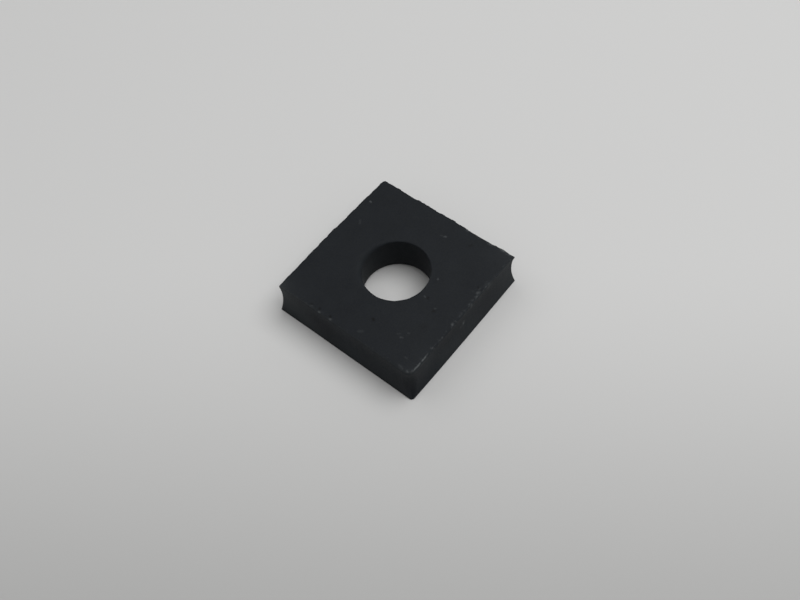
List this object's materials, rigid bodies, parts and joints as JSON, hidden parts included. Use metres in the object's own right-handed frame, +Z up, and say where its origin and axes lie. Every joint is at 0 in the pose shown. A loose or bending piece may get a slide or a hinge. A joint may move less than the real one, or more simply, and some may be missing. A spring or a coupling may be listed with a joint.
{
  "type": "rubber spacer",
  "caption": "Square black rubber spacer pad with a round through hole in its middle and hollow cut side walls, fitted over a bolt or stud to keep parts apart and damp vibration.",
  "frame": {"origin": "middle of the bottom face, on the axis of the hole", "axes": "+Z up along the hole, from the wider bottom face to the top face; X and Y along the sides of the square"},
  "size_m": [0.03, 0.03, 0.008],
  "materials": {
    "rubber": "matte cut rubber sheet, blue black, with pale scuffs on its edges"
  },
  "bodies": {
    "root": {"spacer": "rubber"}
  },
  "joints": []
}
